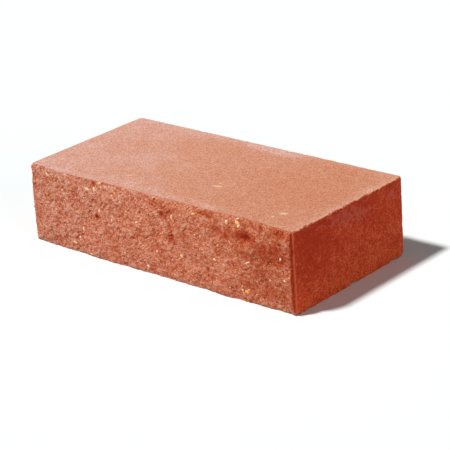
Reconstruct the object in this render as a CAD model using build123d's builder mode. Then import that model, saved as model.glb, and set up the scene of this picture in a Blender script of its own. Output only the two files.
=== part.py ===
from build123d import *
import os
from math import cos, pi, radians, sin

os.makedirs("parts", exist_ok=True)

# Split-face concrete brick, lying on its bed. The origin is in the middle of the bed face,
# +X runs along the length, -Y is the split face and +Z is up. Lengths are in millimetres.

# Format of the brick
brick_length = 250.0
brick_height = 60.0
bed_depth = 120.0

# Moulded edges: upright corners at the back, and the rims of the two pressed faces
back_corner_radius = 1.0
pressed_rim_radius = 0.6

# Upright V groove in each end, whose root is the split line: steep on the side of the brick and
# shallow on the side that breaks away
groove_depth = 1.5
groove_back_width = 0.5
groove_front_width = 7.0
groove_root_radius = 0.3
groove_arris_radius = 0.9

# Part of the twin unit on the far side of the split line that breaks away
waste_depth = 24.0

# Broad form of the fracture: its crown at mid height, the foot that stands further forward
# than the top edge, and how squarely both turn back to the edges
fracture_crown = 2.7
crown_squareness = 6.0
fracture_lean = 2.0
lean_squareness = 4.0

# Swells of the fracture, from long and high to short and low. Each is shorter and lower than
# the one before by one ratio, is turned by one angle, and bends with the relief below it.
swell_count = 9
longest_swell = 84.0
highest_swell = 0.5
swell_shortening = 0.8
swell_fading = 0.85
swell_turn = radians(137.5)
swell_start = 4.0
swell_shift = 1.7
swell_bend = 1.5

# Share of the swells that is left at the top edge and the foot, where the splitting blades bite
edge_share = 0.5

# Lumps that stayed on and hollows where lumps came away: place along X from the middle, level
# above the bed, rise (below zero in a hollow) and reach
spalls = [
    (84.0, 49.0, -1.6, 7.0),
    (104.0, 36.0, -0.9, 12.0),
    (127.0, 53.0, -0.3, 12.0),
    (127.0, 35.0, -3.3, 5.0),
    (127.0, 16.0, 1.8, 14.0),
    (88.0, 62.0, -0.9, 26.0),
    (54.0, 54.0, -0.7, 8.0),
    (36.0, 28.0, -0.6, 10.0),
    (12.0, 50.0, -0.9, 12.0),
    (-60.0, 56.0, -0.9, 5.0),
    (-62.0, -4.0, 0.6, 24.0),
    (-85.0, 64.0, 1.3, 32.0),
    (-126.0, 52.0, -3.8, 14.0),
    (-128.0, 24.0, -3.8, 22.0),
    (-126.0, 27.0, 2.6, 4.5),
]

# Grid on which the fracture is worked out, how far it runs past the brick all round, and how
# closely the smooth surface follows it
grid_pitch = 3.0
fracture_overrun = 6.0
surface_tolerance = 0.08


def swells(x, z):
    """Return the relief of all the swells together at x along the brick and z up."""
    relief = 0.0
    for order in range(swell_count):
        length = longest_swell * swell_shortening**order
        height = highest_swell * swell_fading**order
        across = x * cos(order * swell_turn) + z * sin(order * swell_turn)
        start = swell_start + swell_shift * order**2 + swell_bend * relief
        relief += height * sin(2 * pi * across / length + start)
    return relief


def proud(x, z):
    """Return how far the fracture stands forward of the split line at x along and z up."""
    rise = z / brick_height
    arch = 1 - abs(2 * rise - 1) ** crown_squareness
    pinning = 1 - abs(2 * x / brick_length) ** lean_squareness
    broad = fracture_crown * arch + fracture_lean * (0.5 - rise) * pinning
    lumps = sum(
        height / (1 + ((x - middle) ** 2 + (z - level) ** 2) / reach**2) ** 2
        for middle, level, height, reach in spalls
    )
    return broad + swells(x, z) * (edge_share + (1 - edge_share) * arch) + lumps


def steps(start, end):
    """Return evenly spaced stations from start to end, about one grid pitch apart."""
    count = round((end - start) / grid_pitch)
    return [start + (end - start) * step / count for step in range(count + 1)]


grid_x = steps(-brick_length / 2 - fracture_overrun, brick_length / 2 + fracture_overrun)
grid_z = steps(-fracture_overrun, brick_height + fracture_overrun)

# The overall depth is centred on the origin, so the split line follows the foremost lump
foremost = max(proud(x, z) for x in grid_x for z in grid_z)
back_y = (bed_depth + foremost) / 2
split_line_y = back_y - bed_depth

fracture_points = [[(x, split_line_y - proud(x, z), z) for x in grid_x] for z in grid_z]
fracture = Face.make_surface_from_array_of_points(
    fracture_points, tol=surface_tolerance, min_deg=3, max_deg=3
)

# Brick: pressed as a twin unit with a groove in each end, then split along the grooves
with BuildPart() as split_face_brick:
    with BuildSketch() as pressed_outline:
        with BuildLine():
            Polyline(
                (0, back_y),
                (brick_length / 2, back_y),
                (brick_length / 2, split_line_y + groove_back_width),
                (brick_length / 2 - groove_depth, split_line_y),
                (brick_length / 2, split_line_y - groove_front_width),
                (brick_length / 2, split_line_y - waste_depth),
                (0, split_line_y - waste_depth),
            )
            mirror(about=Plane.YZ)
        make_face()
        groove_arrises = pressed_outline.vertices().group_by(Axis.Y)[-2]
        fillet(groove_arrises, groove_arris_radius)
        groove_roots = pressed_outline.vertices().group_by(Axis.Y)[2]
        fillet(groove_roots, groove_root_radius)
        back_corners = pressed_outline.vertices().group_by(Axis.Y)[-1]
        fillet(back_corners.sort_by(Axis.X)[0::2], back_corner_radius)
    extrude(amount=brick_height)
    bed_and_top = split_face_brick.faces().filter_by(Axis.Z)
    fillet(bed_and_top.edges(), pressed_rim_radius)
    split(bisect_by=fracture, keep=Keep.TOP)

split_face_brick.part.label = "split_face_brick"
export_step(split_face_brick.part, "parts/split_face_brick.step")
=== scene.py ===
import bpy
import numpy as np
from mathutils import Matrix, Vector


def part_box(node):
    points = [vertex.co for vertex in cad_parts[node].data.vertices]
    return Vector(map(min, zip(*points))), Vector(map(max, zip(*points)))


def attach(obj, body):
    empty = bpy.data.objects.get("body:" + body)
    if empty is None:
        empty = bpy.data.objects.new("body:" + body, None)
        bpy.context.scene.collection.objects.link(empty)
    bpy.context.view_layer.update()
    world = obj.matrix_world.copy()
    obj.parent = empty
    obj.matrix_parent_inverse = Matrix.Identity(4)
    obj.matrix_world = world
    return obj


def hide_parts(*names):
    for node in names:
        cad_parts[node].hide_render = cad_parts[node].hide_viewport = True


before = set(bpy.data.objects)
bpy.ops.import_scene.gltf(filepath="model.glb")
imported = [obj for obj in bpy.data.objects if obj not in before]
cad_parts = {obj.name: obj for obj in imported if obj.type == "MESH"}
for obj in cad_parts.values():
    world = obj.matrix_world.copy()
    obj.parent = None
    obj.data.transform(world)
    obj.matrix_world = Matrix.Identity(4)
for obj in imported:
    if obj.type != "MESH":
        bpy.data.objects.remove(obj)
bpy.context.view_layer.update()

# Split-face concrete brick on its bed. Sizes are worked out in millimetres in the frame of the
# part, with +X along the brick, -Y out of the split face and +Z up, and go into meshes in metres.
mm = 0.001

# Format, as in the part
half_length = 125.0
brick_height = 60.0
bed_depth = 120.0
node_low, node_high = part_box("split_face_brick")
back_y = node_high[1] / mm
foremost_y = node_low[1] / mm
split_line_y = back_y - bed_depth

# Moulded edges and the upright V groove in each end
back_corner_radius = 1.0
pressed_rim_radius = 0.6
groove_depth = 1.5
groove_back_width = 0.5
groove_front_width = 7.0
root_rounding = 0.3
arris_rounding = 0.5

# Broad form of the fracture, as in the part
fracture_crown = 2.7
crown_squareness = 6.0
fracture_lean = 2.0
lean_squareness = 4.0
swell_count = 9
longest_swell = 84.0
highest_swell = 0.5
swell_shortening = 0.8
swell_fading = 0.85
swell_turn = np.radians(137.5)
swell_start = 4.0
swell_shift = 1.7
swell_bend = 1.5
edge_share = 0.5
spalls = [
    (84, 49, -1.6, 7), (104, 36, -0.9, 12), (127, 53, -0.3, 12), (127, 35, -3.3, 5),
    (127, 16, 1.8, 14), (88, 62, -0.9, 26), (54, 54, -0.7, 8), (36, 28, -0.6, 10),
    (12, 50, -0.9, 12), (-60, 56, -0.9, 5), (-62, -4, 0.6, 24), (-85, 64, 1.3, 32),
    (-126, 52, -3.8, 14), (-128, 24, -3.8, 22), (-126, 27, 2.6, 4.5),
]

# Pits of the fracture where a lump or grain came out: x, z, depth, half width, half height
pits = [
    (83, 47, 0.95, 6.5, 2.2), (-57.5, 57, 0.52, 2.6, 1.4), (-56, 33, 0.85, 1.6, 2.1),
    (6.5, 48, 0.52, 2.4, 1.4), (-1, 52, 0.39, 2, 1.2), (15, 51, 0.52, 2.2, 1.6),
    (15.2, 33, 0.59, 1, 1.6), (14.2, 28.5, 0.33, 0.6, 3.6), (66, 44, 0.39, 2.2, 1.4),
    (56, 47, 0.52, 2, 1.4), (107, 41, 0.52, 3, 1.6), (103.5, 54.5, 0.39, 2, 1.3),
    (111.5, 57, 0.33, 1.6, 1), (117.5, 31, 0.52, 1.5, 1.2), (81, 2.5, 0.45, 1.8, 1.4),
    (-31, 2.5, 0.39, 2, 1.2), (-82.5, 16.5, 0.33, 1.5, 1.2), (-87.5, 36.5, 0.33, 1.3, 1.2),
    (-106.5, 23.5, 0.33, 1.6, 1.2), (-106.5, 49.5, 0.39, 2, 1.4), (-104, 57, 0.45, 2.2, 1.2),
]

# Chips out of the arrises: a point on the arris, how wide and how deep, all in millimetres
chips = [
    ((125, -58, 0), 9, 2.2), ((125, 38, 0), 9, 0.9), ((125, 50, 0), 11, 1.5),
    ((125, 61.7, 0), 12, 2.2), ((125, 3, 0), 9, 1.4), ((125, -8, 0), 8, 0.4),
    ((125, -30, 0), 5, 0.6), ((125, -47, 0), 5, 0.6), ((125, 18, 60), 4.5, 0.5),
    ((125, -44, 60), 5, 0.7), ((125, -55.5, 60), 4, 0.8), ((125, 61.7, 60), 4.4, 0.8),
    ((-125, -56, 60), 4, 0.6), ((-125, 24, 60), 6, 0.6), ((-125, 61.5, 60), 5, 1.1),
    ((-125, 61.5, 0), 6, 1.2), ((-125, -20, 0), 7, 0.8), ((-60, 62, 60), 6, 0.6),
    ((25, 62, 60), 7, 0.6), ((71, 62, 60), 6, 0.5), ((45, 62, 0), 8, 0.9),
    ((-90, 62, 0), 6, 0.6), ((98, 62, 60), 5, 0.5), ((124.7, 62, 24), 6, 0.4),
]

# Seeded chips: how many on each run of arris, the widest, the run, its side along X, its level.
# Then the narrowest, how far behind the split line those of the ends start, how far inside the
# arris some lie, how near a side an arris is, and how far past a ball its crumbs may reach.
chip_runs = [
    (36, 3.2, "end", 1, brick_height), (26, 3.6, "end", -1, brick_height),
    (26, 3.6, "end", 1, 0), (26, 3.6, "end", -1, 0),
    (60, 4.6, "back", 0, brick_height), (34, 3.6, "back", 0, 0),
    (8, 3.2, "corner", 1, 0), (8, 3.2, "corner", -1, 0),
    (100, 5.6, "split", 0, brick_height), (50, 5.6, "split", 0, 0),
]
narrowest_chip = 1.2
end_run_start = 1.0
arris_inset = 0.3
side_reach = (1.0, 1.0, 0.5)
ball_margin = 1.0

# Soft spots that are paler, or below zero fuller red: place, half widths and amount. On the
# fracture they also light or darken it, as painted light and shade: the pale ones low on the
# right light a foot in shade, and the deepest, at 83.5 and 48, darkens a hollow. On the
# fracture and the top the place is along X and up or back; on the ends it is back and up.
front_patches = [
    (83.5, 48.2, 6.8, 2.5, -1.10), (66, 45.5, 4, 3, -0.20), (107, 41, 11, 5, -0.36),
    (110, 4, 15, 4.5, 0.35), (102, 21, 8, 6, 0.10), (121, 29.5, 4, 6, 0.30),
    (80, 38.5, 5, 4, -0.40), (47.5, 57.5, 8, 2.5, -0.45), (62.5, 52, 5, 3, 0.35),
    (1, 56, 9, 2.5, -0.40), (30, 19, 8, 8, 0.28), (5, 41, 5, 3, 0.28), (36, 3.5, 9, 3.5, 0.25),
    (57, 49, 4, 3, -0.28), (16, 52, 7, 3.4, -0.35), (7.5, 49, 3.4, 2.4, -0.50),
    (0, 52.8, 4, 2.6, -0.40), (-58, 57.6, 4, 2.4, -0.60), (-55, 34, 2.2, 2.6, -0.70),
    (16, 33, 2.6, 4.4, -0.55), (-30, 2.5, 4, 2, -0.30), (112, 58, 5, 2, -0.25),
    (-112, 25, 7, 10, -0.15), (70, 27, 16, 6, 0.10), (98, 50, 6, 4, 0.12),
]
top_patches = [
    (16, 57, 24, 6, 0.80), (122.5, 4, 3.2, 52, 0.50), (-20, -50, 34, 7, 0.28),
    (38, -52, 24, 6, 0.45), (-70, 10, 30, 24, 0.10), (-35, 2, 30, 20, 0.12),
    (70, 10, 40, 30, -0.10), (-30, -37, 18, 10, 0.20), (-9, -10, 18, 14, 0.12),
    (22, 16, 14, 10, 0.14), (-96, -16, 16, 12, 0.14), (-49, 46, 14, 8, -0.18),
    (22, -44, 16, 7, 0.10), (114, -54, 8, 5, 0.30),
]
end_patches = [
    (-40, 42, 18, 18, -0.30), (-48, 14, 14, 12, -0.10), (-4, 20, 16, 9, 0.12),
    (48, 48, 14, 14, 0.10), (31, 26, 12, 8, 0.14), (57, 38, 5, 12, 0.18),
    (-6, 56.5, 50, 2.5, -0.16),
]

# Mauve haze on the moulded ends, under the top: back, up, half widths and amount
end_hazes = [
    (-38, 55, 14, 5, 0.25), (-6, 53, 20, 7, 1), (18, 49, 14, 7, 0.8), (50, 51, 10, 8, 0.9),
    (2, 42, 14, 5, 0.25),
]

# Broken grains: their pattern is drawn out along X, rises to the right and is bent by waves.
# Soft lumps are given by size, height and seed, and facets by size, step, tilt and seed.
grain_stretch = 0.75
grain_climb = 0.3
grain_slice = 7.3
bend_size = 5.0
bend_height = 0.9
soft_lumps = [(9.0, 0.20, 11), (4.2, 0.10, 12)]
grain_facets = [(6.5, 0.10, 0.06, 21), (3.1, 0.13, 0.10, 22), (1.6, 0.13, 0.17, 23)]

# Crumbling brink along top and foot, and bowls: their cell, the share of cells that have one,
# their depth, and their radius in cells
brink_reach = 2.0
brink_relief = 0.7
brink_size = 2.2
bowl_cell = 5.5
bowl_share = 0.13
bowl_depth = 0.45
bowl_radius = 0.26

# How far the finished fracture keeps behind the foremost point of the part
box_margin = 0.02

# Odd numbers that spread lattice points and seeds, and those that stir them
lattice_factors = np.array([73856093, 19349663, 83492791], dtype=np.uint64)
seed_factor = 2654435761
stir_step = np.uint64(0x9E3779B97F4A7C15)
stir_factors = (np.uint64(0xBF58476D1CE4E5B9), np.uint64(0x94D049BB133111EB))

# Brings the waves to about -1 to 1, and parts a cell's own numbers from those of its middle
wave_gain = 1.7
own_numbers = 500


def hashed(cell, seed):
    """Three random numbers from 0 to 1 for each whole-number lattice point: its numbers times
    large odd ones are joined by exclusive or, stirred, and cut to their top 24 bits."""
    n = np.bitwise_xor.reduce(cell.astype(np.uint64) * lattice_factors, axis=-1)
    n = n ^ np.uint64(seed * seed_factor % 2**32)
    drawn = []
    for _ in range(3):
        n = n + stir_step
        m = (n ^ (n >> np.uint64(30))) * stir_factors[0]
        m = (m ^ (m >> np.uint64(27))) * stir_factors[1]
        drawn.append(((m ^ (m >> np.uint64(31))) >> np.uint64(40)) / 2.0**24)
    return np.stack(drawn, axis=-1)


def waves(p, size, seed):
    """Smooth noise from about -1 to 1 with swells about size across: at each lattice corner c a
    random slope g gives g . (p - c), and the eight are blended by 6t^5 - 15t^4 + 10t^3."""
    q = p / size
    cell = np.floor(q).astype(np.int64)
    t = q - cell
    fade = t**3 * (t * (t * 6 - 15) + 10)
    total = np.zeros(p.shape[:-1])
    for corner in np.ndindex(2, 2, 2):
        step = np.array(corner)
        slope = hashed(cell + step, seed) * 2 - 1
        share = np.prod(np.where(step == 1, fade, 1 - fade), axis=-1)
        total += share * np.sum(slope * (t - step), axis=-1)
    return total * wave_gain


def rough(p, size, octaves, seed):
    """Sum of waves, each half as wide and half as high as the one before."""
    return sum(waves(p, size / 2**k, seed + k) / 2**k for k in range(octaves))


def cells(p, size, seed):
    """Nearest of the scattered middles, one in each lattice cell: the distance to it and the
    vector from it, in units of size, and its three random numbers."""
    q = p / size
    cell = np.floor(q).astype(np.int64)
    best = np.full(p.shape[:-1], np.inf)
    away = np.zeros(p.shape)
    drawn = np.zeros(p.shape)
    for corner in np.ndindex(3, 3, 3):
        there = cell + np.array(corner) - 1
        vector = q - there - hashed(there, seed)
        distance = np.linalg.norm(vector, axis=-1)
        nearer = distance < best
        best = np.where(nearer, distance, best)
        away = np.where(nearer[..., None], vector, away)
        drawn = np.where(nearer[..., None], hashed(there, seed + own_numbers), drawn)
    return best, away, drawn


def facets(p, size, step, tilt, seed):
    """Broken facets: in each cell the height is step * s + tilt * size * (g . v), where s and the
    slope g are the cell's own random numbers from -1 to 1 and v is the vector from its middle."""
    _, away, drawn = cells(p, size, seed)
    slope = drawn * 2 - 1
    return step * slope[..., 0] + tilt * size * np.sum(slope * away, axis=-1)


def smooth_max(a, b, k):
    """The larger of a and b, with their meeting rounded: max(a, b) + h^2 / 4k, h = k - |a - b|."""
    h = np.maximum(k - np.abs(a - b), 0.0)
    return np.maximum(a, b) + h * h / (4 * k)


def fading(a, reach, power=1):
    """1 where a is 0, less the further it is past the reach: exp(-(a / reach)^power)."""
    return np.exp(-((a / reach) ** power))


def swells(x, z):
    """Relief of the swells of the fracture: each is a sine shorter and lower than the last, turned
    by one angle, and bent by the relief below it."""
    relief = 0.0
    for order in range(swell_count):
        wave = longest_swell * swell_shortening**order
        rise = highest_swell * swell_fading**order
        across = x * np.cos(order * swell_turn) + z * np.sin(order * swell_turn)
        start = swell_start + swell_shift * order**2 + swell_bend * relief
        relief = relief + rise * np.sin(2 * np.pi * across / wave + start)
    return relief


def crown(z):
    """1 at mid height, 0 at the top edge and the foot: 1 - |2z/h - 1|^p."""
    return 1 - np.abs(2 * z / brick_height - 1) ** crown_squareness


def proud(x, z):
    """How far the broad fracture stands forward of the split line: its crown,
    lean * (1/2 - z/h) * (1 - |x/a|^q), the spalls lump / (1 + r^2)^2, and the swells, which
    are lower at the top edge and the foot."""
    arch = crown(z)
    pinning = 1 - np.abs(x / half_length) ** lean_squareness
    total = fracture_crown * arch + fracture_lean * (0.5 - z / brick_height) * pinning
    for middle, level, lump, reach in spalls:
        total = total + lump / (1 + ((x - middle) ** 2 + (z - level) ** 2) / reach**2) ** 2
    return total + swells(x, z) * (edge_share + (1 - edge_share) * arch)


def grain_relief(x, z):
    """Relief of the broken grains on the fracture: soft lumps, three sizes of facet, a crumbling
    brink along top and foot, bowls depth * exp(-(r / radius)^4) where one cell in eight lost
    its grain, and the listed pits depth * exp(-r^4)."""
    p = np.stack([grain_stretch * x, np.full_like(x, grain_slice), z - grain_climb * x], axis=-1)
    bend = [waves(p, bend_size, 81), np.zeros_like(x), waves(p, bend_size, 82)]
    p = p + bend_height * np.stack(bend, axis=-1)
    total = np.zeros_like(x)
    for size, height, seed in soft_lumps:
        total += height * waves(p, size, seed)
    for size, step, tilt, seed in grain_facets:
        total += facets(p, size, step, tilt, seed)
    brink = fading(brick_height - z, brink_reach) + fading(z, brink_reach)
    total += brink_relief * brink * waves(p, brink_size, 13)
    near, _, drawn = cells(p, bowl_cell, 31)
    bowl = (drawn[..., 0] < bowl_share) * (0.5 + 0.5 * drawn[..., 1])
    total -= bowl_depth * bowl * fading(near, bowl_radius, 4)
    for middle, level, depth, wide, high in pits:
        r2 = ((x - middle) / wide) ** 2 + ((z - level) / high) ** 2
        total -= depth * np.exp(-(r2**2))
    return total


def front(x, z):
    """Y of the fracture: the split line less the broad form and the grains, kept in the box."""
    forward = proud(x, z) + grain_relief(x, z)
    limit = split_line_y - foremost_y - box_margin
    return split_line_y - np.minimum(forward, limit)


def groove(y):
    """Depth of the V groove in the ends: the lesser of a shallow slope in front of the root and a
    steep one behind it, joined and run out to nothing by smooth_max."""
    s = y - split_line_y
    ahead = groove_depth * (1 + s / groove_front_width)
    behind = groove_depth * (1 - s / groove_back_width)
    return smooth_max(-smooth_max(-ahead, -behind, root_rounding), 0.0, arris_rounding)


def stations(length, count, close, reach):
    """Stations from 0 to length, whose spacing is 1 - close * exp(-distance / reach) of the
    widest, counted from both ends; close and reach each have a number for either end."""
    middle = (np.arange(count) + 0.5) / count * length
    gap = 1 - close[0] * fading(middle, reach[0])
    gap = gap - close[1] * fading(length - middle, reach[1])
    return np.concatenate([[0.0], np.cumsum(gap) / np.sum(gap)]) * length


# Lattice of the brick: cells along X, Y and Z, with the first rows behind the fracture finer
cells_x, cells_z, near_rows, far_rows = 400, 96, 14, 58
cells_y = near_rows + far_rows
near_depth = 4.4
x_stations = stations(2 * half_length, cells_x, (0.5, 0.5), (5.0, 5.0)) - half_length
z_stations = stations(brick_height, cells_z, (0.5, 0.5), (3.0, 3.0))
near_y = split_line_y + near_depth
far_y = near_y + stations(back_y - near_y, far_rows, (0.8, 0.8), (12.0, 6.0))

# Rows before the groove's root, how much closer they are at both ends, and the least depth
# that they share; then the places of the rows behind the root
root_rows = 5
row_crowding = 0.09
least_root_depth = 0.5
behind_root = np.array([0.0, 0.12, 0.24, 0.36, 0.50, 0.66, 1.0, 1.7, 2.8, near_depth])
settling_passes = 5


def key(i, j, k):
    """One whole number for each point of the lattice."""
    i, j, k = np.broadcast_arrays(i, j, k)
    return (i * (cells_y + 1) + j) * (cells_z + 1) + k


def quads(grid):
    """Four-sided faces between the rows and columns of a grid of keys."""
    ring = (grid[:-1, :-1], grid[1:, :-1], grid[1:, 1:], grid[:-1, 1:])
    return np.stack(ring, axis=-1).reshape(-1, 4)


def narrowing(fine, coarse):
    """Triangles between a row of 2n + 1 points and the next of n + 1."""
    odd, even = fine[1::2], fine[0::2]
    first = np.stack([even[:-1], odd, coarse[:-1]], axis=-1)
    middle = np.stack([odd, coarse[1:], coarse[:-1]], axis=-1)
    last = np.stack([odd, even[1:], coarse[1:]], axis=-1)
    return np.concatenate([first, middle, last])


def brick_faces():
    """Faces of the six sides of the lattice, as keys: the fracture fine, bed, top and ends fine
    for the first rows behind it, then half as fine, as the back is. Returns the four-sided and
    the three-sided faces."""
    fine_x, fine_z = np.arange(cells_x + 1), np.arange(cells_z + 1)
    half_x, half_z = fine_x[::2], fine_z[::2]
    near, far = np.arange(near_rows + 1), np.arange(near_rows + 1, cells_y + 1)
    four = [quads(key(fine_x[:, None], 0, fine_z))]
    four.append(quads(key(half_x[:, None], cells_y, half_z))[:, ::-1])
    three = []
    for level, turn in ((cells_z, 1), (0, -1)):
        four.append(quads(key(fine_x[:, None], near, level))[:, ::turn])
        four.append(quads(key(half_x[:, None], far, level))[:, ::turn])
        strip = narrowing(key(fine_x, near_rows, level), key(half_x, near_rows + 1, level))
        three.append(strip[:, ::turn])
    for side, turn in ((cells_x, 1), (0, -1)):
        four.append(quads(key(side, near[:, None], fine_z))[:, ::turn])
        four.append(quads(key(side, far[:, None], half_z))[:, ::turn])
        strip = narrowing(key(side, near_rows, fine_z), key(side, near_rows + 1, half_z))
        three.append(strip[:, ::-turn])
    return np.concatenate(four), np.concatenate(three)


def blank_points(i, j, k):
    """Points of the sharp-edged brick: z from its station; y in rows from the fracture to the
    groove's root, closer at both, then in rows set behind the root, and so to the back; x is
    its station times the end wall's place. They settle on the broad form of the fracture, and
    its grains come in the last pass. Returns the points and the fracture's y at each."""
    z = z_stations[k]
    x = x_stations[i]
    share = np.minimum(j / root_rows, 1.0)
    share = share - row_crowding * np.sin(2 * np.pi * share)
    beyond = behind_root[np.clip(j - root_rows, 0, near_rows - root_rows)]
    far = far_y[np.maximum(j - near_rows, 0)]
    for turn in range(settling_passes):
        last = turn == settling_passes - 1
        face = front(x, z) if last else split_line_y - proud(x, z)
        root = np.maximum(split_line_y, face + least_root_depth)
        near = face + (root - face) * share + (near_y - root) * beyond / near_depth
        y = np.where(j < near_rows, near, far)
        x = x_stations[i] * (1 - groove(y) / half_length)
    return np.stack([x, y, z], axis=-1), face


def arris_point(run, side, level, s):
    """Point at share s of a run of arris: an end's goes back from just behind the split line,
    the back's and the split face's go from left to right, and a corner's goes up."""
    x = 2 * half_length * s - half_length
    if run == "end":
        y = split_line_y + end_run_start + (bed_depth - end_run_start) * s
        return side * half_length, y, level
    if run == "back":
        return x, back_y, level
    if run == "corner":
        return side * (half_length - arris_inset), back_y - arris_inset, brick_height * s
    inside = np.clip(level, 1.0, brick_height - 1.0)
    return x, split_line_y - float(proud(np.array(x), inside)) - arris_inset, level


def chip_balls(seed):
    """Balls that cut the chips: r = (w^2 / 4 + t^2) / 2t for a width w and depth t, with the
    middle r - t out from the arris, square to it. The listed chips come first, then the
    seeded ones, most of them narrow."""
    random = np.random.default_rng(seed)
    listed = list(chips)
    for count, widest, run, side, level in chip_runs:
        for _ in range(count):
            wide = narrowest_chip + (widest - narrowest_chip) * random.random() ** 2
            point = arris_point(run, side, level, random.random())
            listed.append((point, wide, wide * (0.10 + 0.10 * random.random())))
    balls = []
    centre = (0.0, (split_line_y + back_y) / 2, brick_height / 2)
    sides = np.array([half_length, bed_depth / 2, brick_height / 2]) - side_reach
    for point, wide, deep in listed:
        radius = (wide**2 / 4 + deep**2) / (2 * deep)
        out = np.array(point) - centre
        out = np.sign(out) * (np.abs(out) > sides)
        out = out / max(np.linalg.norm(out), 1.0)
        balls.append((np.array(point) + out * (radius - deep), radius))
    return balls


# Shaping: how far a side draws points inward, the passes, the share of the way in each, the
# height of the crumbs round a chip, and how far the moulded sides are out of true
draw_reach = 1.1
shaping_passes = 16
shaping_step = 0.7
crumb_height = 0.22
out_of_true = 0.02

# Fresh surface in a chip: how far under the skin it counts, its fade, and where it ends
skin_depth = 0.3
fresh_fade = 0.15
fresh_end = 0.2


def shape_brick(blank, face):
    """Rounds and chips the sharp brick: each point goes inward along d = -sum exp(-a / reach) n
    over the six sides, a its distance to a side and n that side's normal, until the joined
    sides are reached. The sides are joined by smooth_max, and each chip is a ball taken away.
    Returns the points, 1 where a chip is fresh, and the distances to the six sides."""
    x, y, z = blank.T
    wall = half_length - groove(y)
    gaps = np.stack([wall - x, wall + x, y - face, back_y - y, brick_height - z, z])
    share = fading(np.maximum(gaps, 0.0), draw_reach)
    out_x, out_y, out_z = share[0] - share[1], share[3] - share[2], share[4] - share[5]
    inward = -np.stack([out_x, out_y, out_z], axis=-1)
    inward /= np.linalg.norm(inward, axis=-1)[:, None]

    wear = 0.5 + 0.5 * rough(blank, 9.0, 3, 41)
    crumb = crumb_height * rough(blank, 1.9, 2, 51)
    corner = back_corner_radius * (1.0 + 0.25 * wear)
    rim = pressed_rim_radius * (0.6 + 0.8 * np.clip(wear, 0, 1) ** 2)
    broken = 0.25 + 0.55 * np.clip(0.5 + 0.5 * waves(blank, 3.5, 61), 0, 1)
    level = out_of_true + out_of_true * waves(blank, 14.0, 71)

    def outside(p):
        px, py, pz = p.T
        end = np.abs(px) - half_length + groove(py) + level
        sides = smooth_max(end, py - back_y + level, corner)
        bearing = np.maximum(pz - brick_height, -pz) + level
        shell = smooth_max(sides, bearing, rim)
        return smooth_max(shell, face - py, broken)

    balls = chip_balls(5)
    moved = blank.copy()
    for _ in range(shaping_passes):
        chip = np.full(len(blank), -np.inf)
        for middle, radius in balls:
            reach = np.all(np.abs(moved - middle) < radius + ball_margin, axis=-1)
            near = np.linalg.norm(moved[reach] - middle, axis=-1)
            chip[reach] = np.maximum(chip[reach], radius + crumb[reach] - near)
        whole = outside(moved)
        moved += inward * shaping_step * np.maximum(np.maximum(whole, chip), 0.0)[:, None]
    fresh = np.clip(1 + (chip - np.maximum(whole, -skin_depth)) / fresh_fade, 0, 1)
    return moved, fresh * (chip > -fresh_end), gaps


# Least distance between rows, and the passes in which folds are smoothed out
row_gap = 0.02
relax_passes = 12


def keep_rows_in_order(points, keys):
    """Moves a point of bed, top or end back where a chip has pushed the row in front past it:
    each row's y is at least row_gap more than that of the row before."""
    near = np.arange(near_rows + 1)
    along, up = np.arange(cells_x + 1)[:, None], np.arange(cells_z + 1)[:, None]
    sides = [key(along, near, level) for level in (0, cells_z)]
    sides += [key(side, near, up) for side in (0, cells_x)]
    shift = row_gap * near
    for side in sides:
        rows = np.searchsorted(keys, side)
        points[rows, 1] = np.maximum.accumulate(points[rows, 1] - shift, axis=1) + shift


def relax_folds(points, four, three):
    """Where a triangle faces against the mean normal of its corners it has folded over, and its
    corners go to the mean of their neighbours, a few times over."""
    triangles = np.concatenate([four[:, [0, 1, 2]], four[:, [0, 2, 3]], three])
    count = len(points)

    def gathered(values):
        parts = [
            np.bincount(triangles.T.ravel(), np.tile(values[..., a], 3).ravel(), count)
            for a in range(3)
        ]
        return np.stack(parts, axis=-1)

    beside = np.bincount(triangles.ravel(), minlength=count)[:, None]
    for _ in range(relax_passes):
        a, b, c = (points[triangles[:, n]] for n in range(3))
        normal = np.cross(b - a, c - a)
        mean = gathered(normal)
        against = np.einsum("ij,ikj->ik", normal, mean[triangles]) < 0
        folded = np.unique(triangles[against.any(axis=1)])
        if len(folded) == 0:
            break
        middle = gathered((a + b + c) / 3) / beside
        points[folded] = middle[folded]


def blurred(grid, reach):
    """Mean of a grid over a square 2 * reach + 1 wide, by running sums, edges repeated."""
    for axis in (0, 1):
        ends = [(reach + 1, reach) if a == axis else (0, 0) for a in (0, 1)]
        total = np.cumsum(np.pad(grid, ends, mode="edge"), axis=axis)
        count = 2 * reach + 1
        high = np.take(total, np.arange(count, total.shape[axis]), axis=axis)
        low = np.take(total, np.arange(0, total.shape[axis] - count), axis=axis)
        grid = (high - low) / count
    return grid


def patches(u, v, listed):
    """Sum of soft spots: amount * exp(-((u - a) / wide)^2 - ((v - b) / high)^2)."""
    total = np.zeros_like(u)
    for a, b, wide, high, amount in listed:
        total += amount * np.exp(-(((u - a) / wide) ** 2) - ((v - b) / high) ** 2)
    return total


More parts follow.
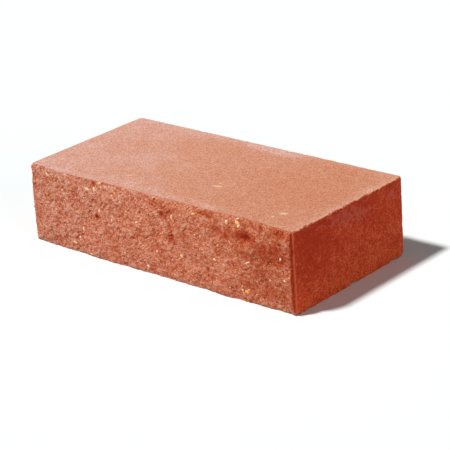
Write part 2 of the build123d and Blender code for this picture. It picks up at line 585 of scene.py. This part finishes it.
def paleness_and_painted_light(p, gaps):
    """Paleness from 0 to 1: a rule for each side, joined by how near the sides are. The fracture
    pales to the left, more so at its top edge; top and bed to the left and along their long
    arrises; ends and back to the foot, as painted light in place of the floor's bounce, and the
    ends deepen in front of the groove's root, as painted shade on the groove's wall."""
    x, y, z = p.T
    soft = rough(p, 34.0, 3, 91)
    left = np.clip(0.5 - x / (2 * half_length), 0, 1)
    foot = np.clip(1 - z / brick_height, 0, 1)
    past_root = y - split_line_y

    front_pale = 0.08 + 0.72 * left + 0.30 * fading(brick_height - z, 6.0, 2) * left
    front_pale += patches(x, z, front_patches) + 0.12 * soft

    top_pale = 0.05 + 0.80 * left**1.5 + 0.34 * fading(np.maximum(past_root, 0), 6.0)
    top_pale += 0.42 * fading(np.maximum(back_y - y, 0), 8.0)
    top_pale += patches(x, y, top_patches) + 0.14 * soft

    # Painted light: ends and back paler toward the foot, in place of the floor's bounce
    end_pale_and_painted_light = 0.27 + 0.48 * foot**1.5 + patches(y, z, end_patches)
    # Painted shade: darker in front of the groove's root, where the groove's wall lies in shade
    end_pale_and_painted_light -= 0.5 * fading(past_root + 3.0, 3.0, 4)
    end_pale_and_painted_light += 0.12 * rough(p, 12.0, 3, 95) + 0.08 * soft

    nearest = (gaps[2], np.minimum(gaps[4], gaps[5]), np.min(gaps[[0, 1, 3]], axis=0))
    near = [fading(gap, 0.8) for gap in nearest]
    total = near[0] * front_pale + near[1] * top_pale + near[2] * end_pale_and_painted_light
    return np.clip(total / sum(near), 0, 1)


def new_mesh(name, points, faces):
    """Mesh in metres from whole arrays of points in millimetres and of faces by corner count."""
    mesh = bpy.data.meshes.new(name)
    corners = np.concatenate([f.ravel() for f in faces])
    totals = np.concatenate([np.full(len(f), f.shape[1]) for f in faces])
    mesh.vertices.add(len(points))
    mesh.vertices.foreach_set("co", (points * mm).astype(np.float32).ravel())
    mesh.loops.add(len(corners))
    mesh.loops.foreach_set("vertex_index", corners.astype(np.int32))
    mesh.polygons.add(len(totals))
    starts = np.concatenate([[0], np.cumsum(totals)[:-1]])
    mesh.polygons.foreach_set("loop_start", starts.astype(np.int32))
    mesh.polygons.foreach_set("use_smooth", np.ones(len(totals), dtype=bool))
    mesh.update(calc_edges=True)
    mesh.validate()
    return mesh


def put(name, data):
    """A new object in the scene, at the origin."""
    made = bpy.data.objects.new(name, data)
    bpy.context.scene.collection.objects.link(made)
    return made


def place(mesh, material, slot):
    """The finished piece at the origin, riding on the body."""
    mesh.materials.append(material)
    piece = put(mesh.name, mesh)
    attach(piece, "root")
    return piece


def hollow_depths(y, z):
    """Depth of the fracture's points under the mean around them, its crown taken off first:
    0.6 of that in a square of 7 by 7 points and 0.4 of that in one of 19 by 19. The finish
    darkens by it, as painted shade in the hollows."""
    grid = (y + fracture_crown * crown(z)).reshape(cells_x + 1, cells_z + 1)
    return (0.6 * (grid - blurred(grid, 3)) + 0.4 * (grid - blurred(grid, 9))).ravel()


def split_share(gaps):
    """How far points belong to the fracture: 1.35 exp(-(a / 0.38)^2), a the distance behind it,
    and less where the pressed skin holds under the top."""
    split = 1.35 * fading(np.maximum(gaps[2], 0), 0.38, 2)
    return split * (1 - 0.72 * fading(gaps[4], 0.6, 2))


def pressed_share(blank, gaps):
    """How far points belong to bed and top: 1.3 exp(-(a / spill)^2), a the distance under them,
    where the spill wanders at the top, with nicks in it along the ends."""
    spill = 0.65 + 0.8 * np.clip(waves(blank, 3.2, 121), 0, 1)
    bearing = 1.3 * fading(np.minimum(gaps[4] / spill, gaps[5] / 0.5), 1, 2)
    nick = np.clip(1.1 * waves(blank, 2.8, 122), 0, 1)
    return bearing * (1 - nick * fading(np.minimum(*gaps[:2]), 0.8, 2))


def arris_wear_and_highlight(blank, gaps):
    """Wear along the arrises, exp(-a / 1.3), a the distance to the second nearest moulded side,
    which the finish also uses as a painted highlight; and on the ends a ragged bright line on the
    groove's arris, with a fainter band behind, both of them painted highlights."""
    rim = fading(np.sort(np.abs(gaps[[0, 1, 3, 4, 5]]), axis=0)[1], 1.3)
    past_root = blank[:, 1] - split_line_y
    # Painted highlight on the groove's arris, and a fainter painted band behind it
    ragged = 0.75 + 0.35 * waves(blank, 4.0, 111)
    arris = ragged * fading(past_root - 0.36, 0.30, 4)
    arris = arris + 0.36 * fading(past_root - 1.8, 1.6, 4)
    return np.maximum(rim, arris * (np.minimum(*gaps[:2]) < 0.2))


def brick_mesh():
    """The brick: blank points, shaped, with those inside the fracture swayed along X and Z, rows
    kept in order and folds smoothed out; then the numbers its finish reads."""
    four, three = brick_faces()
    keys, places = np.unique(np.concatenate([four.ravel(), three.ravel()]), return_inverse=True)
    k = keys % (cells_z + 1)
    j = keys // (cells_z + 1) % (cells_y + 1)
    i = keys // ((cells_z + 1) * (cells_y + 1))
    blank, face = blank_points(i, j, k)
    points, fresh, gaps = shape_brick(blank, face)

    on_front = j == 0
    sway = np.stack([waves(blank, 1.3, 101), 0 * face, waves(blank, 1.3, 102)], axis=-1)
    inner = on_front * np.clip(np.min(gaps[[0, 1, 4, 5]], axis=0) / 1.5, 0, 1)
    points += 0.2 * sway * inner[:, None]
    keep_rows_in_order(points, keys)
    fours, threes = places[: four.size].reshape(-1, 4), places[four.size :].reshape(-1, 3)
    relax_folds(points, fours, threes)

    x, y, z = blank.T
    painted_hollow_shade = np.zeros(len(keys))
    painted_hollow_shade[on_front] = hollow_depths(y[on_front], z[on_front])
    # Painted light and shade on the fracture: lighter low down, where the face turns under into
    # shade, lighter or darker in the listed spots, some of which light a shaded foot and one of
    # which darkens a hollow, and a little lighter toward the top
    painted_light_lift = 0.24 * patches(x, z, front_patches)
    painted_light_lift += 0.14 * fading(z, 5.0) + 0.06 * z / brick_height
    on_end = fading(np.minimum(*gaps[:2]), 0.8)
    haze = on_end * np.clip(patches(y, z, end_hazes), 0, 1)

    mesh = new_mesh("split_face_concrete", points, [fours, threes])
    numbers = {
        "split": np.maximum(split_share(gaps), fresh),
        "pressed": pressed_share(blank, gaps) * (1 - fresh),
        "painted_hollow_shade": painted_hollow_shade,
        "painted_light_lift": painted_light_lift,
        # Paleness, with painted light at the foot of ends and back and painted shade in the grooves
        "bloom_and_painted_light": paleness_and_painted_light(blank, np.maximum(gaps, 0)),
        "rim": arris_wear_and_highlight(blank, gaps),
        "haze": haze,
        # How low a point is, for the painted light at the foot of the ends
        "foot": fading(z, 11.0, 2),
    }
    for name, values in numbers.items():
        layer = mesh.attributes.new(name, "FLOAT", "POINT")
        layer.data.foreach_set("value", values.astype(np.float32))
    return mesh


class Nodes:
    """Nodes of a material or of the world, made and joined by short calls."""

    def __init__(self, owner):
        owner.use_nodes = True
        self.tree = owner.node_tree
        self.tree.nodes.clear()

    def add(self, kind, settings=None, inputs=None):
        """A node with its settings, and each input joined to a socket or set to a value."""
        made = self.tree.nodes.new("ShaderNode" + kind)
        for name, value in (settings or {}).items():
            setattr(made, name, value)
        for name, value in (inputs or {}).items():
            if isinstance(value, bpy.types.NodeSocket):
                self.tree.links.new(value, made.inputs[name])
            else:
                made.inputs[name].default_value = value
        return made

    def math(self, operation, a, b):
        return self.add("Math", {"operation": operation}, {0: a, 1: b}).outputs[0]

    def blend(self, share, first, second, way="MIX"):
        """Two colours mixed: the share is socket 0 of the node, and the colours are 6 and 7."""
        inputs = {0: share}
        for place, colour in ((6, first), (7, second)):
            inputs[place] = (*colour, 1.0) if isinstance(colour, tuple) else colour
        settings = {"data_type": "RGBA", "blend_type": way}
        return self.add("Mix", settings, inputs).outputs[2]

    def seen_directly(self):
        """1 for rays straight from the camera, by gloss or through glass, else 0."""
        path = self.add("LightPath").outputs
        by_gloss = self.math("MAXIMUM", path["Is Camera Ray"], path["Is Glossy Ray"])
        return self.math("MAXIMUM", by_gloss, path["Is Transmission Ray"])


class Finish(Nodes):
    """A material on Object coordinates, its textures measured in millimetres."""

    def __init__(self, name):
        self.material = bpy.data.materials.new(name)
        super().__init__(self.material)
        self.where = self.add("TexCoord").outputs["Object"]

    def number(self, name, output="Fac"):
        return self.add("Attribute", {"attribute_name": name}).outputs[output]

    def noise(self, size, detail=2.0, roughness=0.5, scale=None, turn=(0.0, 0.0, 0.0)):
        """Noise with lumps about size across, read at the points, or scaled and turned ones."""
        where = self.where
        if scale:
            inputs = {"Vector": where, "Rotation": turn, "Scale": scale}
            where = self.add("Mapping", {}, inputs).outputs["Vector"]
        inputs = {"Vector": where, "Scale": 1 / (size * mm)}
        inputs |= {"Detail": detail, "Roughness": roughness}
        return self.add("TexNoise", {}, inputs).outputs["Fac"]

    def grains(self, size, output="Distance"):
        inputs = {"Vector": self.where, "Scale": 1 / (size * mm)}
        return self.add("TexVoronoi", {}, inputs).outputs[output]

    def sum(self, *terms):
        """Sum of sockets, (socket, factor) pairs and plain numbers."""
        total = 0.0
        for term in terms:
            if not isinstance(term, tuple):
                term = (term, 1.0)
            inputs = {0: term[0], 1: term[1], 2: total}
            total = self.add("Math", {"operation": "MULTIPLY_ADD"}, inputs).outputs[0]
        return total

    def between(self, value, low, high):
        """0 at low, 1 at high, a soft step in between."""
        settings = {"interpolation_type": "SMOOTHSTEP"}
        inputs = {"Value": value, "From Min": low, "From Max": high}
        return self.add("MapRange", settings, inputs).outputs["Result"]

    def ramp(self, value, stops):
        """Colour along a ramp of stops, each a place from 0 to 1 and a colour."""
        made = self.add("ValToRGB", {}, {"Fac": value})
        band = made.color_ramp
        band.elements.remove(band.elements[1])
        band.elements[0].position = stops[0][0]
        band.elements[0].color = (*stops[0][1], 1.0)
        for at, colour in stops[1:]:
            band.elements.new(at).color = (*colour, 1.0)
        return made.outputs["Color"]

    def grey(self, value):
        inputs = {"Red": value, "Green": value, "Blue": value}
        return self.add("CombineColor", {}, inputs).outputs[0]

    def bump(self, height, distance, under=None):
        inputs = {"Height": height, "Distance": distance * mm}
        if under is not None:
            inputs["Normal"] = under
        return self.add("Bump", {}, inputs).outputs["Normal"]

    def close(self, colour, roughness, normal, specular):
        """The shader with its surface joined to the output; returns the material."""
        inputs = {"Base Color": colour, "Roughness": roughness, "Normal": normal}
        inputs["Specular IOR Level"] = specular
        shader = self.add("BsdfPrincipled", {}, inputs).outputs["BSDF"]
        self.add("OutputMaterial", {}, {"Surface": shader})
        return self.material


# How far down the marks on the top reach
streak_depth = 2.0

# Pale scrapes on the top: middle along X and Y, half length, half width, turn in degrees
scrapes = [
    (26.6, -20.1, 4, 1.7, 15), (24.6, -14.7, 1.4, 1.2, 30), (98.8, -35.3, 3.8, 2.3, 31),
    (96.4, -43.2, 1.6, 1.2, 31), (-42.9, -36.5, 3.4, 1.2, 43), (-31.1, -46.2, 2.2, 0.5, 43),
    (-74.5, -23.7, 1.8, 0.7, 43), (-69.8, -46.1, 1.6, 0.5, 43), (-18.1, -10.5, 1.4, 0.6, 20),
    (19.6, 52.7, 3, 0.8, 43), (62, 30, 1.4, 0.5, -30), (-112, -36, 1.8, 0.6, 60),
]

# Amber streaks on the top, in the same terms
amber_streaks = [(29.7, -21.4, 3.6, 1.4, 24), (93, -46, 3, 1, 40)]


def scratches(f, rows, share):
    """Up to share inside the listed streaks, 0 outside: each is a long spot turned on the top,
    with its rim broken by fine noise."""
    total = 0.0
    ragged = f.noise(1.0, 2.0, 0.6)
    for x, y, long, wide, turn in rows:
        settings = {"vector_type": "TEXTURE"}
        inputs = {
            "Vector": f.where,
            "Location": (x * mm, y * mm, brick_height * mm),
            "Rotation": (0.0, 0.0, np.radians(turn)),
            "Scale": (long * mm, wide * mm, streak_depth * mm),
        }
        spot = f.add("Mapping", settings, inputs).outputs["Vector"]
        away = f.add("VectorMath", {"operation": "LENGTH"}, {0: spot}).outputs["Value"]
        inside = f.between(f.sum(away, (ragged, 1.6), -0.8), 1.1, 0.5)
        total = f.math("MAXIMUM", total, inside)
    return f.math("MULTIPLY", total, share)


# Ramps of colour for the split and pressed faces and the moulded ends, and for what tints them
split_reds = [
    (0.05, (0.385, 0.045, 0.018)), (0.30, (0.53, 0.114, 0.050)), (0.52, (0.65, 0.208, 0.112)),
    (0.74, (0.755, 0.312, 0.198)), (0.95, (0.84, 0.470, 0.350)),
]
bloom_tints = [
    (0.0, (0.70, 0.33, 0.18)), (0.06, (0.80, 0.53, 0.39)), (0.35, (0.97, 0.86, 0.76)),
    (0.65, (1, 1, 1)), (1.0, (0.94, 1.0, 1.0)),
]
pressed_salmons = [
    (0.0, (0.61, 0.248, 0.140)), (0.5, (0.655, 0.303, 0.200)), (1.0, (0.71, 0.400, 0.325)),
]
sand_tints = [
    (0.18, (0.80, 0.66, 0.60)), (0.50, (1, 1, 1)), (0.82, (1.18, 1.30, 1.34)),
]
moulded_reds = [
    (0.0, (0.36, 0.022, 0.004)), (0.5, (0.51, 0.048, 0.010)), (1.0, (0.66, 0.130, 0.052)),
]
# Painted light: the ends made lighter toward the foot, in place of the floor's bounce
foot_painted_light_tints = [(0.0, (1, 1, 1)), (1.0, (1.24, 1.18, 0.95))]

# Colours of the worn rims, which are partly painted highlights, the marks on the top and the
# haze on the ends
pressed_rim_wear_and_highlight_colour = (0.95, 0.49, 0.33)
scrape_colour = (0.92, 0.62, 0.45)
amber_colour = (0.68, 0.34, 0.10)
haze_colour = (0.50, 0.098, 0.062)
moulded_rim_wear_and_highlight_colour = (0.72, 0.150, 0.055)

# Noises torn level and rising to the right, or drawn out upright: how they scale and turn
torn_scale = (0.7, 0.7, 1.0)
torn_turn = (0.0, np.radians(20.0), 0.0)
drag_scale = (1.0, 1.0, 0.06)

# Heights of the fine and the coarse relief, and the gloss of the concrete
fine_bump = 0.10
coarse_bump = 0.80
concrete_roughness = 0.92
concrete_specular = 0.2


def concrete_finish():
    """Pigmented concrete: deep red where moulded, with a pale fine-grained bloom where pressed,
    and coarse, with dark hollows and pale grains, where split. The dark of the hollows is painted
    shade; the lighter feet and the bright worn arrises are partly painted light."""
    f = Finish("red_pressed_and_split_concrete")
    split, pressed, painted_hollow_shade = f.number("split"), f.number("pressed"), f.number("painted_hollow_shade")
    bloom_and_painted_light, rim = f.number("bloom_and_painted_light"), f.number("rim")

    grit = f.noise(0.7, 2.0, 0.6)
    speck = f.noise(1.2, 2.0, 0.6)
    sand = f.noise(2.2, 3.0, 0.65)
    torn = f.noise(2.4, 3.0, 0.65, torn_scale, torn_turn)
    torn_speck = f.noise(1.2, 2.0, 0.65, torn_scale, torn_turn)
    clot = f.noise(5.0)
    mottle = f.noise(14.0, 3.0, 0.6)
    cloud = f.noise(60.0)
    single = f.grains(1.5, "Color")

    # Split: sunk parts dark and full red, the dark being painted shade in the hollows, with painted
    # light lifting low parts and listed spots; grain tops pale and pink, deeper where bloom is thin
    tone = f.sum(
        (painted_hollow_shade, -0.60), (torn, 0.7), (torn_speck, 1.05), (grit, 1.25), (mottle, 0.1), -0.975
    )
    tone = f.sum(tone, (single, 0.2), f.number("painted_light_lift"), -0.15)
    cast = f.ramp(f.sum(bloom_and_painted_light, (mottle, 0.5), (clot, 0.2), -0.35), bloom_tints)
    split_colour = f.blend(1.0, f.ramp(tone, split_reds), cast, "MULTIPLY")

    # Pressed: salmon, pinker with bloom, speckled by fine sand and dotted with pores
    pressed_tone = f.sum(bloom_and_painted_light, (mottle, 0.7), (cloud, 0.30), -0.49)
    pressed_colour = f.ramp(pressed_tone, pressed_salmons)
    dots = f.between(f.noise(1.5, 1.0), 0.34, 0.24)
    fine = f.sum((grit, 1.5), (speck, 2.3), sand, (clot, 0.5), (dots, -0.2), -2.15)
    pressed_colour = f.blend(1.0, pressed_colour, f.ramp(fine, sand_tints), "MULTIPLY")
    # Worn rims of the top: partly wear, partly a painted highlight where the arris catches light
    pressed_rim_wear_and_highlight = f.math("MULTIPLY", f.between(f.sum(rim, (sand, 0.4), -0.2), 0.10, 0.90), 0.7)
    pressed_colour = f.blend(pressed_rim_wear_and_highlight, pressed_colour, pressed_rim_wear_and_highlight_colour)
    pressed_colour = f.blend(scratches(f, scrapes, 0.65), pressed_colour, scrape_colour)
    pressed_colour = f.blend(scratches(f, amber_streaks, 0.8), pressed_colour, amber_colour)

    # Moulded: deep brick red, paler with bloom, lighter at the foot as painted light in place of
    # the floor's bounce, hazed, with bright worn rims that are partly painted highlights
    moulded_tone = f.sum(
        (bloom_and_painted_light, 0.8), (mottle, 0.6), (clot, 0.7), (torn, 0.7), (torn_speck, 1.4), (grit, 2.2), -2.75
    )
    moulded_colour = f.ramp(moulded_tone, moulded_reds)
    foot_painted_light = f.ramp(f.number("foot"), foot_painted_light_tints)
    moulded_colour = f.blend(1.0, moulded_colour, foot_painted_light, "MULTIPLY")
    haze = f.sum(f.number("haze"), (clot, 2.2), (torn, 2.0), (grit, 0.8), -2.5)
    blotch = f.math("MULTIPLY", f.between(haze, 0.52, 1.0), 0.5)
    moulded_colour = f.blend(blotch, moulded_colour, haze_colour)
    # Worn rims of the ends: partly wear, partly a painted highlight on the groove's arris
    edge_wear_and_highlight = f.between(f.sum(rim, (sand, 0.8), (speck, 0.5), -0.65), 0.35, 0.85)
    moulded_colour = f.blend(edge_wear_and_highlight, moulded_colour, moulded_rim_wear_and_highlight_colour)

    # Where each shows, with ragged borders
    worn = f.sum(pressed, (sand, 1.4), speck, -1.2)
    smooth_colour = f.blend(f.between(worn, 0.35, 0.65), moulded_colour, pressed_colour)
    is_split = f.between(f.sum(split, (sand, 1.4), (speck, 0.8), -1.1), 0.40, 0.60)
    colour = f.blend(is_split, smooth_colour, split_colour)

    # Relief: fine grain, pores and faint upright drag marks all over, coarse sand where split
    pores = f.between(f.noise(1.1, 1.0), 0.30, 0.42)
    drag = f.noise(1.6, scale=drag_scale)
    fine_height = f.sum((f.noise(0.45, 2.0, 0.6), 0.5), (pores, 0.35), (drag, 0.05))
    sand_height = f.sum((f.grains(0.9), 0.6), (f.noise(0.5), 0.6))
    coarse_height = f.math("MULTIPLY", f.sum((torn, 0.7), sand_height), is_split)
    normal = f.bump(coarse_height, coarse_bump, f.bump(fine_height, fine_bump))
    return f.close(colour, concrete_roughness, normal, concrete_specular)


def stone_finish():
    """Exposed sand and gravel: each stone's own colour, clouded, with a faint grain."""
    f = Finish("exposed_gravel")
    shade = f.sum((f.noise(0.8, 2.0, 0.6), 0.9), 0.55)
    colour = f.blend(1.0, f.number("own_colour", "Color"), f.grey(shade), "MULTIPLY")
    return f.close(colour, 0.6, f.bump(f.noise(0.4), 0.06), 0.3)


# Colours of the stones, and those that show in the fracture: x, z, width, height, lean in
# degrees, colour
cream, straw, yellow = (0.95, 0.62, 0.40), (0.95, 0.60, 0.31), (0.94, 0.56, 0.19)
amber, white = (0.88, 0.38, 0.08), (0.95, 0.76, 0.54)
listed_stones = [
    (67.5, 55, 3, 3.3, 20, straw), (76.3, 56, 4.4, 3.2, -15, yellow),
    (77.6, 54, 3, 2.2, 20, straw), (76.6, 59, 2.4, 1.6, 0, white),
    (25, 21, 3.2, 2.6, 0, yellow), (84, 8.5, 3.6, 3.8, 10, amber),
    (85.6, 10.2, 1.6, 1.4, 10, straw), (86, 30.4, 4.4, 1.6, 25, cream),
    (17.7, 48.4, 2.2, 3.8, 5, cream), (38, 55, 3.6, 2, 30, yellow),
    (2, 19.7, 2.4, 3.2, -5, cream), (-7.8, 6.5, 2.4, 3.2, 0, cream),
    (-57.5, 53.7, 2.6, 3.4, 0, white), (-64, 52.7, 5, 2.2, -15, cream),
    (-52, 59, 3.4, 1.8, 0, yellow), (-37, 54.6, 2, 3.6, 10, amber),
    (-39.5, 52.6, 2.2, 1.8, 10, straw), (-71.6, 20.7, 2.8, 3.6, 10, cream),
    (-81, 8, 3.6, 2.4, -20, straw), (-75.5, 13, 2.2, 2.2, 0, white),
    (-75, 7.5, 1.6, 1.6, 0, amber), (-40, 34.4, 2, 2.6, 0, cream),
    (-53, 38, 2.4, 3.4, 0, straw), (-15.4, 38, 2, 2.2, 0, straw), (-106, 55.5, 2, 3, 10, straw),
    (-65.6, 2.6, 3.8, 1.8, -10, straw), (-26, 43.6, 1.8, 1.8, 0, cream),
    (115, 39.6, 2.2, 3.6, 0, white), (95.5, 5, 1.8, 1.4, 0, amber), (80, 9, 1.6, 2, 0, cream),
    (57, 26.4, 2.4, 2, 0, straw), (44, 40, 1.6, 1.6, 0, cream), (60, 37, 2, 2, 0, amber),
    (105, 22, 1.6, 1.4, 0, cream), (118.5, 25, 2, 2, 0, cream), (-97, 31, 1.6, 1.8, 0, straw),
    (-29, 12, 1.6, 1.6, 0, straw), (-90, 47, 1.8, 1.6, 0, cream),
]

# Seeded small stones: how many, how far they keep from the ends and from top and foot, their
# colours, and the share of each colour
small_stones = 420
end_clearance = 3.0
edge_clearance = 1.5
tan, pink, dark_red = (0.80, 0.48, 0.30), (0.78, 0.40, 0.27), (0.46, 0.12, 0.07)
small_colours = np.array([tan, cream, straw, amber, pink, dark_red])
colour_shares = (0.34, 0.20, 0.17, 0.03, 0.18, 0.08)


def all_stones(seed):
    """The listed stones, then seeded small ones all over the fracture, as rows of numbers."""
    random = np.random.default_rng(seed)
    rows = [[x, z, w, h, lean, *colour] for x, z, w, h, lean, colour in listed_stones]
    x = random.uniform(end_clearance - half_length, half_length - end_clearance, small_stones)
    z = random.uniform(edge_clearance, brick_height - edge_clearance, small_stones)
    size = 0.5 + 0.9 * random.random(small_stones) ** 2
    shape = random.uniform(0.7, 1.3, small_stones)
    lean = random.uniform(0, 180, small_stones)
    colour = small_colours[random.choice(len(small_colours), small_stones, p=colour_shares)]
    colour = colour * random.uniform(0.70, 1.0, small_stones)[:, None]
    small = np.column_stack([x, z, size * shape, size / shape, lean, np.clip(colour, 0, 0.95)])
    return np.concatenate([np.array(rows), small])


# Stones: faces round each, bands from pole to pole, the spread of the random starts of its
# bulges, its thickness by its lesser half width, and how much of that it is sunk
around, bands = 8, 5
bulge_starts = 6.28
stone_thickness = 0.6
stone_sinking = 0.3


def gravel_mesh(seed):
    """Stones: each is a ball, (cos v cos u, sin v, cos v sin u) times 1 + 0.2 sin(2u + a) cos v
    + 0.12 sin(3u + b) cos v, stretched, leaned, and sunk in the fracture."""
    rows = all_stones(seed)
    random = np.random.default_rng(seed + 1)
    count = len(rows)
    u = np.arange(around) / around * 2 * np.pi
    v = (np.arange(1, bands) / bands - 0.5) * np.pi
    v, u = np.meshgrid(v, u, indexing="ij")
    ring = np.stack([np.cos(v) * np.cos(u), np.sin(v), np.cos(v) * np.sin(u)], axis=-1)
    ball = np.concatenate([ring.reshape(-1, 3), [[0, -1, 0], [0, 1, 0]]])
    angle = np.arctan2(ball[:, 2], ball[:, 0])
    flat = np.sqrt(np.clip(1 - ball[:, 1] ** 2, 0, 1))
    a, b = random.uniform(0, bulge_starts, (2, count, 1))
    swell = 1 + 0.2 * np.sin(2 * angle + a) * flat + 0.12 * np.sin(3 * angle + b) * flat
    body = ball[None] * swell[..., None]
    wide, high = rows[:, 2, None] / 2, rows[:, 3, None] / 2
    thick = np.minimum(wide, high) * stone_thickness
    lean = np.radians(rows[:, 4, None])
    east, up = body[..., 0] * wide, body[..., 2] * high
    x = rows[:, 0, None] + east * np.cos(lean) - up * np.sin(lean)
    z = rows[:, 1, None] + east * np.sin(lean) + up * np.cos(lean)
    y = front(rows[:, 0], rows[:, 1])[:, None] + stone_sinking * thick + body[..., 1] * thick
    y = np.maximum(y, foremost_y + 0.5 * box_margin)
    z = np.clip(z, 0.05, brick_height - box_margin)
    points = np.stack([x, y, z], axis=-1)

    rings = np.arange(around * (bands - 1)).reshape(bands - 1, around)
    beside = np.roll(rings, -1, axis=1)
    four = np.stack([rings[:-1], rings[1:], beside[1:], beside[:-1]], axis=-1).reshape(-1, 4)
    near = np.stack([np.full(around, rings.size), rings[0], beside[0]], axis=-1)
    far = np.stack([np.full(around, rings.size + 1), beside[-1], rings[-1]], axis=-1)
    three = np.concatenate([near, far])
    shift = np.arange(count)[:, None, None] * len(ball)
    four, three = (four[None] + shift).reshape(-1, 4), (three[None] + shift).reshape(-1, 3)
    mesh = new_mesh("exposed_gravel", points.reshape(-1, 3), [four, three])
    colour = np.repeat(np.column_stack([rows[:, 5:8], np.ones(count)]), len(ball), axis=0)
    layer = mesh.attributes.new("own_colour", "FLOAT_COLOR", "POINT")
    layer.data.foreach_set("color", colour.astype(np.float32).ravel())
    return mesh


# Floor: its reach in metres, the grey by which it gives back light, and the white seen
floor_reach = 4.0
floor_in_light = (0.8, 0.8, 0.8)
floor_as_seen = (0.96, 1, 1)


def studio_floor():
    """Flat white floor that keeps the shadow, a little less white in the light it gives back."""
    square = ((-1, -1), (1, -1), (1, 1), (-1, 1))
    corners = [(x * floor_reach, y * floor_reach, 0) for x, y in square]
    mesh = bpy.data.meshes.new("studio_floor")
    mesh.from_pydata(corners, [], [(0, 1, 2, 3)])
    material = bpy.data.materials.new("white_floor")
    nodes = Nodes(material)
    tone = nodes.blend(nodes.seen_directly(), floor_in_light, floor_as_seen)
    shader = nodes.add("BsdfDiffuse", {}, {"Color": tone}).outputs["BSDF"]
    nodes.add("OutputMaterial", {}, {"Surface": shader})
    mesh.materials.append(material)
    floor = put("studio_floor", mesh)


# Far lamps: name, direction towards each, strength and spread in degrees; and the room's
# strength as a light and as it is seen
lamps = [
    ("key_light", (-0.28, -0.42, 0.88), 3.15, 7.0),
    ("fill_light", (0.95, -0.15, 0.16), 0.8, 40.0),
]
room_in_light = 0.12
room_as_seen = 1.0


def studio_light():
    """High key light from the front left, a low fill from the right, and an even pale room that
    shows as white."""
    for name, toward, strength, spread in lamps:
        lamp = bpy.data.lights.new(name, "SUN")
        lamp.energy = strength
        lamp.angle = np.radians(spread)
        holder = put(name, lamp)
        holder.rotation_mode = "QUATERNION"
        holder.rotation_quaternion = Vector(toward).to_track_quat("Z", "Y")

    world = bpy.data.worlds.new("pale_room")
    bpy.context.scene.world = world
    nodes = Nodes(world)
    inputs = {"Value": nodes.seen_directly(), "To Min": room_in_light, "To Max": room_as_seen}
    level = nodes.add("MapRange", {}, inputs).outputs["Result"]
    inputs = {"Color": (1, 1, 1, 1), "Strength": level}
    shown = nodes.add("Background", {}, inputs).outputs["Background"]
    nodes.add("OutputWorld", {}, {"Surface": shown})


# Camera: lens; azimuth, elevation and roll in degrees; and its place in millimetres, whose
# depth is counted from the back of the brick
camera_lens = 146.68
camera_angles = (42.68, 22.05, -4.18)
camera_place = (839.66, -959.06, 514.82)


def studio_camera():
    """Long-lens camera, high on the right of the split face and turned a little."""
    data = bpy.data.cameras.new("studio_camera")
    data.sensor_width = 36.0
    data.lens = camera_lens
    data.clip_start, data.clip_end = 0.05, 20.0
    cos_a, cos_e, cos_r = np.cos(np.radians(camera_angles))
    sin_a, sin_e, sin_r = np.sin(np.radians(camera_angles))
    back = np.array([sin_a * cos_e, -cos_a * cos_e, sin_e])
    right = np.array([cos_a, sin_a, 0.0])
    up = np.cross(back, right)
    axes = (right * cos_r + up * sin_r, up * cos_r - right * sin_r, back)
    turn = Matrix(np.column_stack(axes).tolist()).to_4x4()
    eye = (np.array(camera_place) + (0.0, back_y, 0.0)) * mm
    camera = put("studio_camera", data)
    camera.matrix_world = Matrix.Translation(eye) @ turn
    bpy.context.scene.camera = camera


brick = place(brick_mesh(), concrete_finish(), "red_concrete")
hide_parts("split_face_brick")
place(gravel_mesh(3), stone_finish(), "red_concrete")

studio_floor()
studio_light()
studio_camera()
bpy.context.scene.view_settings.view_transform = "Standard"
